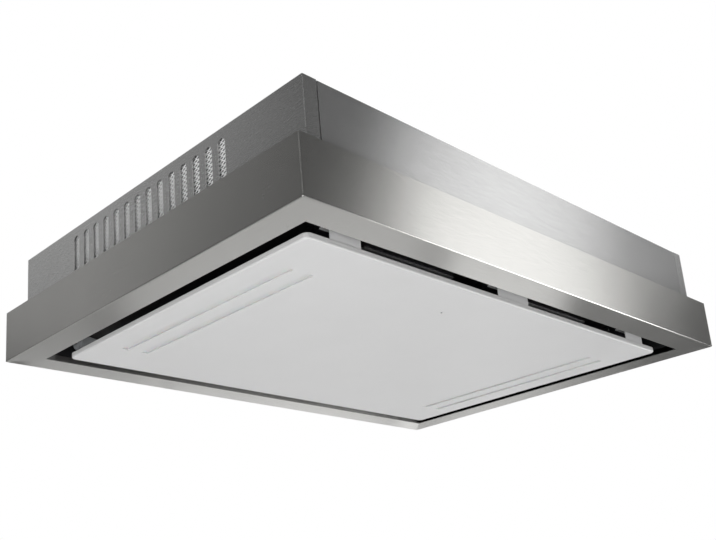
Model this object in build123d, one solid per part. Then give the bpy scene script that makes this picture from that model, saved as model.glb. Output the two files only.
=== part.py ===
from build123d import *

import os
from math import cos, pi, sin, sqrt

# Recirculating ceiling range hood: a stainless canopy under a smaller box, with a white panel
# that hinges down from its back edge and draws air in through the gap all round it.
# Millimetres, +Z up. The origin is the centre of the face that meets the ceiling.
# +X runs along the long side and the front, where the panel's catches are, is at -Y.

# ---- canopy, the wide lower band
canopy_length = 1000.0
canopy_width = 700.0
canopy_height = 82.0
canopy_sheet = 1.5
flange_width = 46.0
ledge_width = 45.0
lip_height = 10.0
fold_radius = 1.5
corner_radius = 2.5

# ---- box between the canopy and the ceiling
box_height = 94.0
box_inset_x = 28.5
box_inset_y = 16.0
box_sheet = 1.2
face_sheet = 2.0
face_top_gap = 1.5
box_corner_radius = 1.5
corner_return = 23.0
seam_gap = 1.0
tray_sheet = 2.0
tray_flange = 12.0
post_leg = 30.0
post_sheet = 2.0

# ---- vent slots in the ends of the box, and the filter cassette behind each row
slot_count = 14
slot_pitch = 27.5
slot_width = 15.0
slot_height = 66.5
slot_top = 14.5
cassette_length = 400.0
cassette_depth = 12.0
cassette_border = 8.0
cassette_top_gap = 4.0
cassette_clearance = 0.3
vent_mesh_thickness = 0.8

# ---- ceiling fixing and mains inlet
ceiling_bolt_inset_x = 51.5
ceiling_bolt_inset_y = 59.0
ceiling_hole_radius = 4.5
grommet_inset_x = 111.5
grommet_inset_y = 134.0
grommet_radius = 12.0
grommet_bore = 6.0
grommet_lip = 3.0

# ---- black suction pan above the panel
pan_depth = 40.0
pan_sheet = 1.2
pan_rim = 15.0
pan_clearance = 0.3

# ---- grease filters in the pan's plate
filter_width = 190.0
filter_length = 466.0
filter_thickness = 9.0
filter_pitch = 360.0
filter_drop = 2.0
filter_clearance = 1.0
filter_border = 14.0
filter_wall = 2.0
filter_lip = 1.0
filter_tab_width = 24.0
filter_tab_reach = 5.0
seat_pocket = 6.0
seat_overlap = 6.0
seat_sheet = 1.2
seat_foot = 8.0
latch_width = 20.0
latch_thickness = 3.6
latch_length = 24.0
latch_reach = 4.0
latch_travel = 5.0
latch_clearance = 0.3
latch_tab = 6.0
latch_tab_inset = 1.0
handle_length = 40.0
handle_width = 60.0
handle_wall = 1.5
grip_wall = 3.5

# ---- white drop-down panel
panel_gap = 27.0
panel_drop = 3.0
panel_thickness = 9.0
panel_corner = 9.0
panel_fold = 2.5
skin_sheet = 1.0
skin_rim = 3.3
parting_line = 0.4
backing_sheet = 1.0
backing_wall = 2.0
backing_clearance = 0.2

# ---- lights in the panel, two strips near each end
light_inset = 48.0
light_pitch = 36.6
light_slot_width = 12.8
light_slot_length = 387.0
channel_width = 18.0
channel_height = 7.0
channel_wall = 1.0
channel_overhang = 4.0
diffuser_recess = 2.0
diffuser_thickness = 1.6
board_width = 8.0
board_thickness = 1.0
chip_size = 3.0
chip_height = 0.8
chip_pitch = 16.0
sensor_x = -75.0
sensor_inset = 81.0
sensor_radius = 1.6
sensor_board_size = 16.0
sensor_collar = 3.0
sensor_rise = 1.5
sensor_board = 1.6

# ---- panel catches and hinges
strike_inset = 69.0
strike_width = 55.0
centre_strike_width = 75.0
strike_rise = 28.0
strike_flange = 18.0
strike_sheet = 1.5
catch_clearance = 0.4
magnet_depth = 30.0
magnet_margin = 5.0
magnet_foot = 12.0
magnet_foot_sheet = 1.5
catch_screw_pitch = 18.0
hinge_setback = 14.0
hinge_rise = 22.0
hinge_inset = 8.0
arm_sheet = 2.0
arm_length = 64.0
arm_foot = 14.0
arm_boss = 7.0
lug_sheet = 2.5
lug_half_width = 12.0
lug_foot = 14.0
lug_clearance = 0.4
pin_radius = 2.5
pin_clearance = 0.05
pin_head_radius = 4.5
pin_head_height = 2.0
clip_width = 0.9
clip_clearance = 0.1
clip_groove_depth = 0.6

# ---- blower
blower_x = 60.0
wheel_radius = 95.0
wheel_inner_radius = 80.0
wheel_top_gap = 28.0
wheel_bottom_gap = 6.0
wheel_sheet = 2.0
blade_count = 38
blade_thickness = 1.2
blade_sweep = 14.0
scroll_clearance = 11.0
scroll_step = 18.0
scroll_wall = 2.5
scroll_top_gap = 14.0
scroll_outlet = 40.0
motor_radius = 38.0
motor_height = 40.0
motor_wall = 3.0
motor_flange = 46.0
cup_clearance = 6.0
hub_radius = 9.0
hub_length = 10.0
shaft_radius = 4.0
shaft_clearance = 0.05
shaft_nut_flat = 13.0
nut_height = 5.0
cone_radius = 74.0
cone_sheet = 1.5
guard_wire = 1.5
guard_rings = 3
guard_spokes = 6
guard_hub = 6.0
cone_curl = 12.0
cone_flange = 22.0
blower_screw_count = 6
motor_screw_count = 3

# ---- electrics standing on the deck
control_box_size = (120.0, 90.0, 42.0)
control_box_inset = 140.0
driver_size = (110.0, 42.0, 28.0)
driver_y = 5.0
terminal_size = (80.0, 60.0, 34.0)
box_wall = 2.5
lid_thickness = 2.5
driver_ear = 12.0

# ---- fasteners
screw_radius = 2.0
screw_head_radius = 4.0
screw_head_height = 2.4
hole_clearance = 0.2
nut_flat = 8.0
stud_height = 9.0
deck_bolt_count = 6
long_stud_count = 5
short_stud_count = 3
pan_stud_inset = 40.0

# ---- levels and outlines worked out from the sizes above
ledge_z = -box_height
under_z = ledge_z - canopy_height
box_length = canopy_length - 2 * box_inset_x
box_width = canopy_width - 2 * box_inset_y
opening_length = canopy_length - 2 * flange_width
opening_width = canopy_width - 2 * flange_width
tray_length = box_length - 2 * box_sheet
tray_width = box_width - 2 * box_sheet
deck_z = ledge_z + tray_sheet
ceiling_bolt_x = box_length - 2 * ceiling_bolt_inset_x
ceiling_bolt_y = box_width - 2 * ceiling_bolt_inset_y
grommet_x = box_length / 2 - grommet_inset_x
grommet_y = box_width / 2 - grommet_inset_y
control_box_y = -box_width / 2 + control_box_inset
pan_z = under_z + pan_depth
pan_top = pan_z + pan_sheet
pan_inner_length = opening_length + 2 * (canopy_sheet + pan_clearance)
pan_inner_width = opening_width + 2 * (canopy_sheet + pan_clearance)
panel_length = opening_length - 2 * panel_gap
panel_width = opening_width - 2 * panel_gap
face_z = under_z - panel_drop
panel_top = face_z + panel_thickness
sensor_y = -panel_width / 2 + sensor_inset
filter_z = pan_z - filter_drop
filter_top = filter_z + filter_thickness
axis_y = panel_width / 2 - hinge_setback
axis_z = under_z + hinge_rise
arm_outer = panel_length / 2 - hinge_inset
lug_inner = arm_outer + lug_clearance
lug_outer = lug_inner + lug_sheet
wheel_top = -wheel_top_gap
wheel_bottom = deck_z + wheel_bottom_gap
scroll_top = -scroll_top_gap
motor_bottom = scroll_top - scroll_wall - motor_height
cup_bottom = motor_bottom - cup_clearance - wheel_sheet
LEFT, RIGHT = -1, 1


def slab(x, y, z):
    """Box between the two values of each pair."""
    middle = [(low + high) / 2 for low, high in (x, y, z)]
    return Pos(*middle) * Box(x[1] - x[0], y[1] - y[0], z[1] - z[0])


def centred_slab(length, width, z, x=0.0, y=0.0):
    """Box of a length and width centred on x and y, between two levels."""
    return slab((x - length / 2, x + length / 2), (y - width / 2, y + width / 2), z)


def frame(length, width, border, z, x=0.0, y=0.0):
    """Rectangular ring whose border lies inside the given length and width."""
    inner = centred_slab(length - 2 * border, width - 2 * border, (z[0] - 1, z[1] + 1), x, y)
    return centred_slab(length, width, z, x, y) - inner


def rod(radius, z, x=0.0, y=0.0):
    """Upright cylinder between two levels."""
    return Pos(x, y, (z[0] + z[1]) / 2) * Cylinder(radius, z[1] - z[0])


def rod_x(radius, x, y, z):
    """Cylinder along X between two values of x."""
    return Pos((x[0] + x[1]) / 2, y, z) * Rot(0, 90, 0) * Cylinder(radius, abs(x[1] - x[0]))


def rounded(length, width, radius, z):
    """Rounded rectangle centred on the origin, between two levels."""
    return Pos(0, 0, z[0]) * extrude(RectangleRounded(length, width, radius), amount=z[1] - z[0])


def spread(span, count):
    """Evenly spaced places over a span centred on zero."""
    return [span * (i / (count - 1) - 0.5) for i in range(count)]


def around(length, width, along_x, along_y):
    """Places on a rectangle: the given x on its long sides and the given y on its short sides."""
    places = [(x, side * width / 2) for side in (LEFT, RIGHT) for x in along_x]
    return places + [(side * length / 2, y) for side in (LEFT, RIGHT) for y in along_y]


def circle_places(radius, count):
    """Places evenly spaced on a circle round the blower's axis."""
    turns = [2 * pi * i / count for i in range(count)]
    return [(blower_x + radius * cos(turn), radius * sin(turn)) for turn in turns]


def joined(shapes):
    """Group of separate solids that share one node."""
    return Compound(children=[solid for shape in shapes for solid in shape.solids()])


def cross_plane(x, y=0.0, z=0.0):
    """Plane across X whose own x and y run along the object's Y and Z."""
    return Plane(origin=(x, y, z), x_dir=(0, 1, 0), z_dir=(1, 0, 0))


def screw(x, y, seat, length, down=True):
    """Pan-head screw whose head sits on a level and whose shank goes on from it."""
    way = -1 if down else 1
    head = rod(screw_head_radius, sorted((seat, seat - way * screw_head_height)), x, y)
    crown = head.faces().sort_by(Axis.Z)[-1 if down else 0].edges()
    shank = rod(screw_radius, sorted((seat, seat + way * length)), x, y)
    return fillet(crown, screw_head_height / 2.5) + shank


def hex_nut(x, y, z, flat, bore):
    """Hexagonal nut with its lower face at z."""
    blank = extrude(RegularPolygon(flat / sqrt(3), 6), amount=nut_height)
    return Pos(x, y, z) * blank - rod(bore, (z - 1, z + nut_height + 1), x, y)


# ---- places that more than one piece uses
deck_row_x = (canopy_length + tray_length) / 2 - ledge_width - tray_sheet
deck_row_y = (canopy_width + tray_width) / 2 - ledge_width - tray_sheet
deck_bolt_places = around(deck_row_x, deck_row_y, spread(deck_row_x, deck_bolt_count),
                          spread((deck_row_y + cassette_length) / 2, 2))
pan_stud_places = around(pan_inner_length + pan_rim + pan_sheet, pan_inner_width + pan_rim + pan_sheet,
                         spread(pan_inner_length - 2 * pan_stud_inset, long_stud_count),
                         spread(pan_inner_width - 2 * pan_stud_inset, short_stud_count))
light_places = [side * (panel_length / 2 - light_inset - i * light_pitch)
                for side in (LEFT, RIGHT) for i in range(2)]
filter_places = {"left": -filter_pitch / 2, "right": filter_pitch / 2}
strike_x = panel_length / 2 - strike_inset
strike_places = [(-strike_x, strike_width), (0.0, centre_strike_width), (strike_x, strike_width)]


blower_screw_circle = cone_radius + cone_curl + cone_flange / 2 + screw_radius
blower_screw_places = circle_places(blower_screw_circle, blower_screw_count)
motor_screw_places = circle_places((motor_radius + motor_flange) / 2, motor_screw_count)
catch_screw_y = -panel_width / 2 + backing_sheet + strike_sheet + magnet_depth + magnet_foot / 2
catch_screw_x = [x + shift for x, _ in strike_places for shift in spread(catch_screw_pitch, 2)]
catch_screw_places = [(x, catch_screw_y) for x in catch_screw_x]
strike_screw_y = -panel_width / 2 + backing_sheet + (strike_sheet + strike_flange) / 2
strike_screw_places = [(x, strike_screw_y) for x in catch_screw_x]
lug_screw_places = [(side * (lug_outer + lug_foot / 2), axis_y + shift)
                    for side in (LEFT, RIGHT) for shift in spread(lug_half_width, 2)]
arm_screw_places = [(side * (arm_outer - arm_sheet - arm_foot / 2), axis_y - arm_length / 2 + shift)
                    for side in (LEFT, RIGHT) for shift in spread(arm_length * 0.6, 2)]


def hole_through(shape, places, z):
    """Shape with a clearance hole for a screw at each place, between two levels."""
    for x, y in places:
        shape -= rod(screw_radius + hole_clearance, z, x, y)
    return shape


def canopy_ring():
    """Outer band with its bottom flange, upturned lip and top ledge, before it is mitred."""
    band = centred_slab(canopy_length, canopy_width, (under_z, ledge_z))
    band = fillet(band.edges().filter_by(Axis.Z), corner_radius)
    band = fillet(band.faces().sort_by(Axis.Z)[0].edges(), fold_radius)
    wall = canopy_sheet
    hollow = (under_z + wall, ledge_z - wall)
    band -= centred_slab(canopy_length - 2 * wall, canopy_width - 2 * wall, hollow)
    band -= centred_slab(opening_length, opening_width, (under_z - 1, under_z + 2 * wall))
    inner_length = canopy_length - 2 * ledge_width
    inner_width = canopy_width - 2 * ledge_width
    band -= centred_slab(inner_length, inner_width, (ledge_z - 2 * wall, ledge_z + 1))
    lip_length = opening_length + 2 * wall
    lip_width = opening_width + 2 * wall
    band += frame(lip_length, lip_width, wall, (under_z + wall, under_z + lip_height))
    return hole_through(band, deck_bolt_places, (ledge_z - 2 * wall, ledge_z + 1))


def canopy_rails():
    """The four sides of the canopy, cut from the ring along 45 degree mitres."""
    ring = canopy_ring()
    half_x = canopy_length / 2 + 1
    half_y = canopy_width / 2 + 1
    ridge = half_x - half_y
    front = [(-half_x, -half_y), (half_x, -half_y), (ridge, 0), (-ridge, 0)]
    left = [(-half_x, -half_y), (-ridge, 0), (-half_x, half_y)]
    rails = {}
    for name, corners, turn in (("front", front, 0), ("left", left, 0),
                                ("back", front, 180), ("right", left, 180)):
        wedge = extrude(make_face(Polyline(*corners, close=True)), amount=canopy_height + 2, dir=(0, 0, 1))
        rails[f"canopy_{name}_rail"] = ring & (Rot(0, 0, turn) * Pos(0, 0, under_z - 1) * wedge)
    return rails


def top_plate():
    """Tray that is bolted to the ceiling, with holes for the bolts and the mains grommet."""
    plate = centred_slab(tray_length, tray_width, (-tray_sheet, 0))
    plate += frame(tray_length, tray_width, tray_sheet, (-tray_flange, 0))
    for x in spread(ceiling_bolt_x, 2):
        for y in spread(ceiling_bolt_y, 2):
            plate -= rod(ceiling_hole_radius, (-tray_sheet - 1, 1), x, y)
    return plate - rod(grommet_radius + hole_clearance, (-tray_sheet - 1, 1), grommet_x, grommet_y)


def deck_plate():
    """Tray that closes the bottom of the box and carries the blower over its inlet hole."""
    plate = centred_slab(tray_length, tray_width, (ledge_z, deck_z))
    plate += frame(tray_length, tray_width, tray_sheet, (ledge_z, ledge_z + tray_flange))
    plate = hole_through(plate, deck_bolt_places + blower_screw_places, (ledge_z - 1, deck_z + 1))
    return plate - rod(cone_radius + cone_curl, (ledge_z - 1, deck_z + 1), blower_x)


def side_panel():
    """Left end of the box: a sheet with a row of vent slots and a return round each corner."""
    half = box_length / 2
    sheet = slab((-half, -half + corner_return), (-box_width / 2, box_width / 2), (ledge_z, 0))
    outer = sheet.edges().filter_by(Axis.Z).group_by(Axis.X)[0]
    sheet = fillet(outer, box_corner_radius)
    sheet -= slab((-half + box_sheet, -half + corner_return + 1),
                  (-box_width / 2 + box_sheet, box_width / 2 - box_sheet), (ledge_z - 1, 1))
    middle_z = -slot_top - slot_height / 2
    for y in spread(slot_pitch * (slot_count - 1), slot_count):
        slot = cross_plane(-half - 1, y, middle_z) * SlotOverall(slot_height, slot_width, rotation=90)
        sheet -= extrude(slot, amount=box_sheet + 2)
    return sheet


def face_panel():
    """Front sheet of the box, between the two corner returns and a little proud of them."""
    length = box_length - 2 * (corner_return + seam_gap)
    inside = -box_width / 2 + box_sheet
    return slab((-length / 2, length / 2), (inside - face_sheet, inside), (ledge_z, -face_top_gap))


def corner_posts():
    """Angle posts that tie the top plate to the deck in the four corners of the box."""
    half_x = tray_length / 2 - tray_sheet
    half_y = tray_width / 2 - tray_sheet
    z = (deck_z, -tray_sheet)
    post = slab((-half_x, -half_x + post_leg), (-half_y, -half_y + post_leg), z)
    post -= slab((-half_x + post_sheet, half_x), (-half_y + post_sheet, half_y), (z[0] - 1, z[1] + 1))
    pair = [post, mirror(post, about=Plane.YZ)]
    return joined(pair + [mirror(piece, about=Plane.XZ) for piece in pair])


def vent_cassette():
    """Left vent filter: its frame, the wire mesh behind the slots and the charcoal pad."""
    front = -tray_length / 2 + tray_sheet + cassette_clearance
    back = front + cassette_depth
    y = (-cassette_length / 2, cassette_length / 2)
    z = (deck_z, -cassette_top_gap)
    inner_y = (y[0] + cassette_border, y[1] - cassette_border)
    inner_z = (z[0] + cassette_border, z[1] - cassette_border)
    mesh_y = (y[0] + cassette_border / 2, y[1] - cassette_border / 2)
    mesh_z = (z[0] + cassette_border / 2, z[1] - cassette_border / 2)
    mesh_x = (front + vent_mesh_thickness, front + 2 * vent_mesh_thickness)
    pad_x = (mesh_x[1], back - cassette_clearance)
    surround = slab((front, back), y, z) - slab((front - 1, back + 1), inner_y, inner_z)
    surround -= slab((mesh_x[0], back + 1), mesh_y, mesh_z)
    fit = cassette_clearance
    mesh = slab(mesh_x, (mesh_y[0] + fit, mesh_y[1] - fit), (mesh_z[0] + fit, mesh_z[1] - fit))
    pad = slab(pad_x, (mesh_y[0] + fit, mesh_y[1] - fit), (mesh_z[0] + fit, mesh_z[1] - fit))
    return {"vent_frame": surround, "vent_mesh": mesh, "charcoal_pad": pad}


def mains_grommet():
    """Rubber bush in the top plate that the supply cable passes through."""
    bush = rod(grommet_radius, (-tray_sheet, 0), grommet_x, grommet_y)
    bottom = -tray_sheet - grommet_lip
    bush += rod(grommet_radius + grommet_lip, (bottom, -tray_sheet), grommet_x, grommet_y)
    return bush - rod(grommet_bore, (bottom - 1, 1), grommet_x, grommet_y)


def pan_walls():
    """Angle strips that stand on the canopy's flange and form the sides of the suction pan."""
    bottom = under_z + canopy_sheet
    half_x = pan_inner_length / 2
    half_y = pan_inner_width / 2
    wall_z = (bottom, pan_z)
    foot_z = (bottom, bottom + pan_sheet)
    front_x = (-half_x - pan_sheet, half_x + pan_sheet)
    front = slab(front_x, (-half_y - pan_sheet, -half_y), wall_z)
    front += slab(front_x, (-half_y - pan_rim, -half_y), foot_z)
    left = slab((-half_x - pan_sheet, -half_x), (-half_y, half_y), wall_z)
    left += slab((-half_x - pan_rim, -half_x), (-half_y, half_y), foot_z)
    hole_z = (foot_z[0] - 1, foot_z[1] + 1)
    front = hole_through(front, pan_stud_places, hole_z)
    left = hole_through(left, pan_stud_places, hole_z)
    return {
        "pan_front_wall": front,
        "pan_back_wall": mirror(front, about=Plane.XZ),
        "pan_left_wall": left,
        "pan_right_wall": mirror(left, about=Plane.YZ),
    }


def pan_plate():
    """Roof of the suction pan, with an opening for each grease filter."""
    plate = centred_slab(pan_inner_length + 2 * pan_sheet, pan_inner_width + 2 * pan_sheet, (pan_z, pan_top))
    for x in filter_places.values():
        plate -= centred_slab(filter_width + 2 * filter_clearance, filter_length + 2 * filter_clearance,
                              (pan_z - 1, pan_top + 1), x)
    return hole_through(plate, catch_screw_places + lug_screw_places, (pan_z - 1, pan_top + 1))


def filter_seat(x):
    """Ring on the pan's roof that the grease filter comes up against, with room for its latch."""
    length = filter_width + 2 * (filter_clearance + seat_pocket)
    width = filter_length + 2 * (filter_clearance + seat_pocket)
    top = filter_top + latch_clearance
    wall = frame(length + 2 * seat_sheet, width + 2 * seat_sheet, seat_sheet, (pan_top, top + seat_sheet), x)
    foot = frame(length + 2 * seat_foot, width + 2 * seat_foot, seat_foot, (pan_top, pan_top + seat_sheet), x)
    cover = frame(length, width, seat_pocket + filter_clearance + seat_overlap, (top, top + seat_sheet), x)
    return wall + foot + cover


def handle_pocket(x):
    """Outer size of the latch housing at the front end of a grease filter."""
    front = -filter_length / 2 + filter_wall
    return (x - handle_width / 2, x + handle_width / 2), (front, front + handle_length)


def latch_levels():
    """Lower and upper face of the latch bolt, just above the pan's roof."""
    low = pan_top + latch_clearance
    return low, low + latch_thickness


def filter_frame(x):
    """Channel round a grease filter, its rear tabs and the housing of its latch."""
    shell = centred_slab(filter_width, filter_length, (filter_z, filter_top), x)
    hollow = (filter_z + filter_lip, filter_top - filter_lip)
    shell -= centred_slab(filter_width - 2 * filter_wall, filter_length - 2 * filter_wall, hollow, x)
    shell -= centred_slab(filter_width - 2 * filter_border, filter_length - 2 * filter_border,
                          (filter_z - 1, filter_top + 1), x)
    pocket_x, pocket_y = handle_pocket(x)
    shell += slab(pocket_x, pocket_y, (filter_z, filter_top))
    low, high = latch_levels()
    half = latch_width / 2 + latch_clearance
    bolt_x = (x - half, x + half)
    bolt_y = (-filter_length / 2 - 1,
              -filter_length / 2 + latch_length - latch_reach + latch_travel + latch_clearance)
    shell -= slab(bolt_x, bolt_y, (low - latch_clearance, high + latch_clearance))
    shell -= slab(bolt_x, (pocket_y[0] + grip_wall, pocket_y[1] - handle_wall), (filter_z - 1, high))
    for side in (LEFT, RIGHT):
        centre = x + side * (filter_width / 2 - filter_border - filter_tab_width / 2)
        shell += slab((centre - filter_tab_width / 2, centre + filter_tab_width / 2),
                      (filter_length / 2 - filter_wall, filter_length / 2 + filter_tab_reach),
                      (pan_top + latch_clearance, pan_top + latch_clearance + filter_lip))
    return shell


def filter_mesh(x):
    """Pad of woven metal held in the filter's channel, cut out round the latch housing."""
    fit = latch_clearance
    pad = centred_slab(filter_width - 2 * (filter_wall + fit), filter_length - 2 * (filter_wall + fit),
                       (filter_z + filter_lip + fit, filter_top - filter_lip - fit), x)
    pocket_x, pocket_y = handle_pocket(x)
    return pad - slab((pocket_x[0] - fit, pocket_x[1] + fit), (pocket_y[0] - filter_wall, pocket_y[1] + fit),
                      (filter_z - 1, filter_top + 1))


def filter_latch(x):
    """Sprung bolt that holds the front end of a filter over the pan's roof, with its finger tab."""
    low, high = latch_levels()
    tip = -filter_length / 2 - latch_reach
    end = tip + latch_length
    bolt = slab((x - latch_width / 2, x + latch_width / 2), (tip, end), (low, high))
    half = latch_width / 2 - latch_tab_inset
    return bolt + slab((x - half, x + half), (end - latch_tab, end), (filter_z, low))


def panel_skin():
    """White pressed sheet that faces the room, with the light slots and the sensor hole."""
    skin = rounded(panel_length, panel_width, panel_corner, (face_z, face_z + skin_rim))
    skin = fillet(skin.faces().sort_by(Axis.Z)[0].edges(), panel_fold)
    skin -= rounded(panel_length - 2 * skin_sheet, panel_width - 2 * skin_sheet, panel_corner - skin_sheet,
                    (face_z + skin_sheet, face_z + skin_rim + 1))
    sheet_z = (face_z - 1, face_z + skin_sheet + 1)
    for x in light_places:
        skin -= centred_slab(light_slot_width, light_slot_length, sheet_z, x)
    return skin - rod(sensor_radius + hole_clearance, sheet_z, sensor_x, sensor_y)


def panel_backing():
    """Inner half of the panel, whose foot stands in the skin below a fine parting line."""
    start = face_z + skin_rim + parting_line
    inset = skin_sheet + backing_clearance
    hollow = inset + backing_wall
    upper = rounded(panel_length, panel_width, panel_corner, (start, panel_top))
    upper = fillet(upper.faces().sort_by(Axis.Z)[-1].edges(), backing_sheet)
    foot = rounded(panel_length - 2 * inset, panel_width - 2 * inset, panel_corner - inset,
                   (face_z + skin_sheet, start))
    room = rounded(panel_length - 2 * hollow, panel_width - 2 * hollow, panel_corner - hollow,
                   (face_z + skin_sheet - 1, panel_top - backing_sheet))
    roof_z = (panel_top - 2 * backing_sheet, panel_top + 1)
    return hole_through(upper + foot - room, strike_screw_places + arm_screw_places, roof_z)


def light_channel(x):
    """Upturned channel over a light slot, with a shelf for the diffuser along its lower edge."""
    floor = face_z + skin_sheet
    length = light_slot_length + 2 * channel_overhang
    channel = centred_slab(channel_width, length, (floor, floor + channel_height), x)
    channel -= centred_slab(channel_width - 2 * channel_wall, length - 2 * channel_wall,
                            (floor + diffuser_recess, floor + channel_height - channel_wall), x)
    window = (floor - 1, floor + diffuser_recess + 1)
    return channel - centred_slab(light_slot_width, light_slot_length, window, x)


def light_diffuser(x):
    """Frosted strip across a light slot, set back behind the face of the panel."""
    floor = face_z + skin_sheet + diffuser_recess
    width = channel_width - 2 * (channel_wall + hole_clearance)
    length = light_slot_length + 2 * (channel_overhang - channel_wall - hole_clearance)
    return centred_slab(width, length, (floor, floor + diffuser_thickness), x)


def light_board(x):
    """Strip of lamps on the roof of a channel, facing the diffuser."""
    top = face_z + skin_sheet + channel_height - channel_wall
    board = centred_slab(board_width, light_slot_length, (top - board_thickness, top), x)
    chips = int(light_slot_length / chip_pitch)
    low = top - board_thickness - chip_height
    for y in spread(chip_pitch * (chips - 1), chips):
        board += centred_slab(chip_size, chip_size, (low, top - board_thickness), x, y)
    return board


def sensor():
    """Remote-control receiver: its lens in the skin and the board that carries it."""
    floor = face_z + skin_sheet
    lens = rod(sensor_radius, (face_z, floor), sensor_x, sensor_y)
    collar = rod(sensor_collar, (floor, floor + sensor_rise), sensor_x, sensor_y)
    board = centred_slab(sensor_board_size, sensor_board_size,
                         (floor + sensor_rise, floor + sensor_rise + sensor_board), sensor_x, sensor_y)
    return lens + collar + board


def strikes():
    """Steel brackets on the front edge of the panel that the magnets hold."""
    front = -panel_width / 2 + backing_sheet
    top = under_z + strike_rise
    pieces = []
    for x, width in strike_places:
        block = slab((x - width / 2, x + width / 2), (front, front + strike_flange), (panel_top, top))
        block -= slab((x - width, x + width), (front + strike_sheet, front + strike_flange + 1),
                      (panel_top + strike_sheet, top - strike_sheet))
        flange = (panel_top - 1, panel_top + 2 * strike_sheet)
        pieces.append(hole_through(block, strike_screw_places, flange))
    return joined(pieces)


def catch_magnets():
    """Magnet blocks under the pan's roof, one above each strike, with a foot for two screws."""
    front = -panel_width / 2 + backing_sheet + strike_sheet
    back = front + magnet_depth
    bottom = under_z + strike_rise + catch_clearance
    pieces = []
    for x, width in strike_places:
        span = (x - width / 2 + magnet_margin, x + width / 2 - magnet_margin)
        foot = slab(span, (back, back + magnet_foot), (pan_z - magnet_foot_sheet, pan_z))
        magnet = slab(span, (front, back), (bottom, pan_z)) + foot
        pieces.append(hole_through(magnet, catch_screw_places, (bottom, pan_z + 1)))
    return joined(pieces)


def hinge_arm():
    """Left arm: a foot on the panel's back and a web up to the hinge axis."""
    web = (-arm_outer, -arm_outer + arm_sheet)
    start = axis_y - arm_length
    corners = [(start, panel_top), (axis_y, panel_top), (axis_y + arm_boss, axis_z),
               (axis_y, axis_z + arm_boss), (start + arm_length / 2, axis_z)]
    profile = cross_plane(web[0]) * make_face(Polyline(*corners, close=True))
    arm = extrude(profile, amount=arm_sheet) + rod_x(arm_boss, web, axis_y, axis_z)
    arm += slab((web[0], web[1] + arm_foot), (start, axis_y), (panel_top, panel_top + arm_sheet))
    arm = hole_through(arm, arm_screw_places, (panel_top - 1, panel_top + 2 * arm_sheet))
    return arm - rod_x(pin_radius + pin_clearance, (web[0] - 1, web[1] + 1), axis_y, axis_z)


def hinge_lug():
    """Left lug: a plate down from the pan's roof that carries the hinge pin."""
    web = (-lug_outer, -lug_inner)
    y = (axis_y - lug_half_width, axis_y + lug_half_width)
    lug = slab(web, y, (axis_z, pan_z)) + rod_x(lug_half_width, web, axis_y, axis_z)
    lug += slab((web[0] - lug_foot, web[1]), y, (pan_z - lug_sheet, pan_z))
    lug = hole_through(lug, lug_screw_places, (pan_z - 2 * lug_sheet, pan_z + 1))
    return lug - rod_x(pin_radius + pin_clearance, (web[0] - 1, web[1] + 1), axis_y, axis_z)


def clip_span():
    """Both faces of the left spring clip along X, beside the arm."""
    start = -arm_outer + arm_sheet + lug_clearance
    return start, start + clip_width


def hinge_pin():
    """Left pin, with its head outside the lug and a groove for its clip."""
    groove = (clip_span()[0] - clip_clearance, clip_span()[1] + clip_clearance)
    tip = groove[1] + pin_head_height
    pin = rod_x(pin_radius, (-lug_outer, tip), axis_y, axis_z)
    pin += rod_x(pin_head_radius, (-lug_outer - pin_head_height, -lug_outer), axis_y, axis_z)
    sleeve = rod_x(pin_radius + 1, groove, axis_y, axis_z)
    return pin - (sleeve - rod_x(pin_radius - clip_groove_depth, groove, axis_y, axis_z))


def hinge_clip():
    """Left spring clip in the groove of the pin."""
    start, end = clip_span()
    ring = rod_x(pin_head_radius, (start, end), axis_y, axis_z)
    bore = pin_radius - clip_groove_depth + clip_clearance
    return ring - rod_x(bore, (start - 1, end + 1), axis_y, axis_z)


def scroll_face(grow, reach):
    """Plan of the blower housing: four quarter discs that widen round the wheel, and the outlet.

    The walls are moved out by grow, and the outlet runs reach further than the scroll towards -X.
    """
    half = scroll_step / 2
    radius = wheel_radius + scroll_clearance + half
    plan = Rectangle(scroll_step, scroll_step)
    centres = [(-half, -half), (half, -half), (half, half), (-half, half)]
    for quarter, (x, y) in enumerate(centres):
        size = radius + quarter * scroll_step + grow
        quadrant = Circle(size) & Pos(size / 2, size / 2) * Rectangle(size, size)
        plan += Pos(x, y) * Rot(0, 0, 90 * (quarter + 1)) * quadrant
    low = radius - half - grow
    high = radius + half + 3 * scroll_step + grow
    mouth = -radius - half - reach
    plan += Pos((mouth - half) / 2, (low + high) / 2) * Rectangle(-half - mouth, high - low)
    return Pos(blower_x, 0) * plan


def scroll_block(grow, reach, z):
    """The scroll's plan extruded between two levels."""
    return Pos(0, 0, z[0]) * extrude(scroll_face(grow, reach), amount=z[1] - z[0])


def blower_housing():
    """Scroll with its floor and walls, open at the top, at the outlet and at the inlet."""
    top = scroll_top - scroll_wall
    shell = scroll_block(scroll_wall, scroll_outlet, (deck_z, top))
    shell -= scroll_block(0, scroll_outlet + 1, (deck_z + scroll_wall, top + 1))
    shell -= rod(cone_radius + cone_curl, (deck_z - 1, top), blower_x)
    return hole_through(shell, blower_screw_places, (deck_z - 1, top))


def blower_cover():
    """Lid of the scroll, from which the motor hangs."""
    cover = scroll_block(scroll_wall, scroll_outlet, (scroll_top - scroll_wall, scroll_top))
    return hole_through(cover, motor_screw_places, (scroll_top - scroll_wall - 1, scroll_top + 1))


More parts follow.
